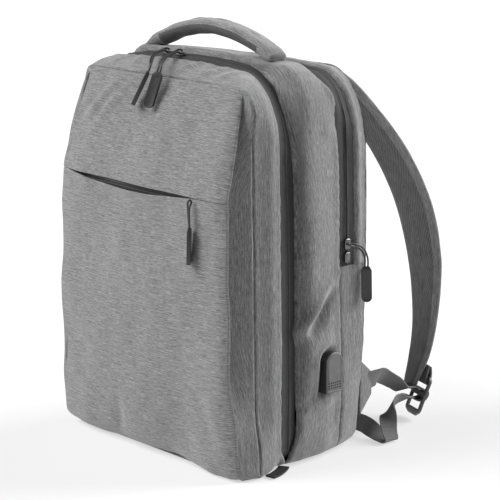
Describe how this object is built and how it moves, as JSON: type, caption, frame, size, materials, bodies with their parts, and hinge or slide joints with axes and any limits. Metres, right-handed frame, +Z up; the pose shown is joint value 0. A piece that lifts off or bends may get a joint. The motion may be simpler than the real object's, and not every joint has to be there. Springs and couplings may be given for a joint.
{
  "type": "backpack",
  "caption": "Soft box-shaped day backpack in heather-grey cloth with a zipped front pocket, wrap-around main zip, rear zip, carry handle, padded shoulder straps and a side charging port.",
  "frame": {"origin": "on the floor under the middle of the base of the main compartment", "axes": "+X the side with the charging port, +Y the wearer's side with the shoulder straps, +Z up"},
  "size_m": [0.3261, 0.3775, 0.4765],
  "materials": {
    "cloth": "heather-grey woven polyester, streaky, matt",
    "tape": "dark grey zip tape over a nylon coil",
    "mesh": "dark grey padded spacer mesh",
    "webbing": "dark grey ribbed webbing",
    "plastic": "dark satin plastic",
    "port": "dark grey soft plastic",
    "black": "black webbing"
  },
  "bodies": {
    "root": {"front_band": "cloth", "main_gusset": "cloth", "main_zip_tape": "tape", "rear_zip_tape": "tape", "rear_gusset_upper": "cloth", "rear_gusset_lower": "cloth", "back_panel": "mesh", "front_panel_lower": "cloth", "front_panel_upper": "cloth", "pocket_zip_tape": "tape", "front_pocket_gusset": "cloth", "carry_handle": "cloth", "shoulder_strap_right": "mesh", "shoulder_strap_left": "mesh", "strap_tab_right": "cloth", "strap_tab_left": "cloth", "webbing_right": "webbing", "webbing_left": "webbing", "buckle_right": "plastic", "buckle_left": "plastic", "buckle_loop_right": "webbing", "buckle_loop_left": "webbing", "usb_port": "port", "base_tab": "black", "slider_top_1": "plastic", "slider_top_2": "plastic", "slider_side": "plastic", "slider_side_lower": "plastic", "slider_pocket": "plastic", "pull_cord_top_1": "plastic", "pull_cord_top_2": "plastic", "pull_cord_side": "plastic", "pull_cord_pocket": "plastic", "pull_tab_top_1": "plastic", "pull_tab_top_2": "plastic", "pull_tab_side": "plastic", "pull_tab_pocket": "plastic"}
  },
  "joints": []
}
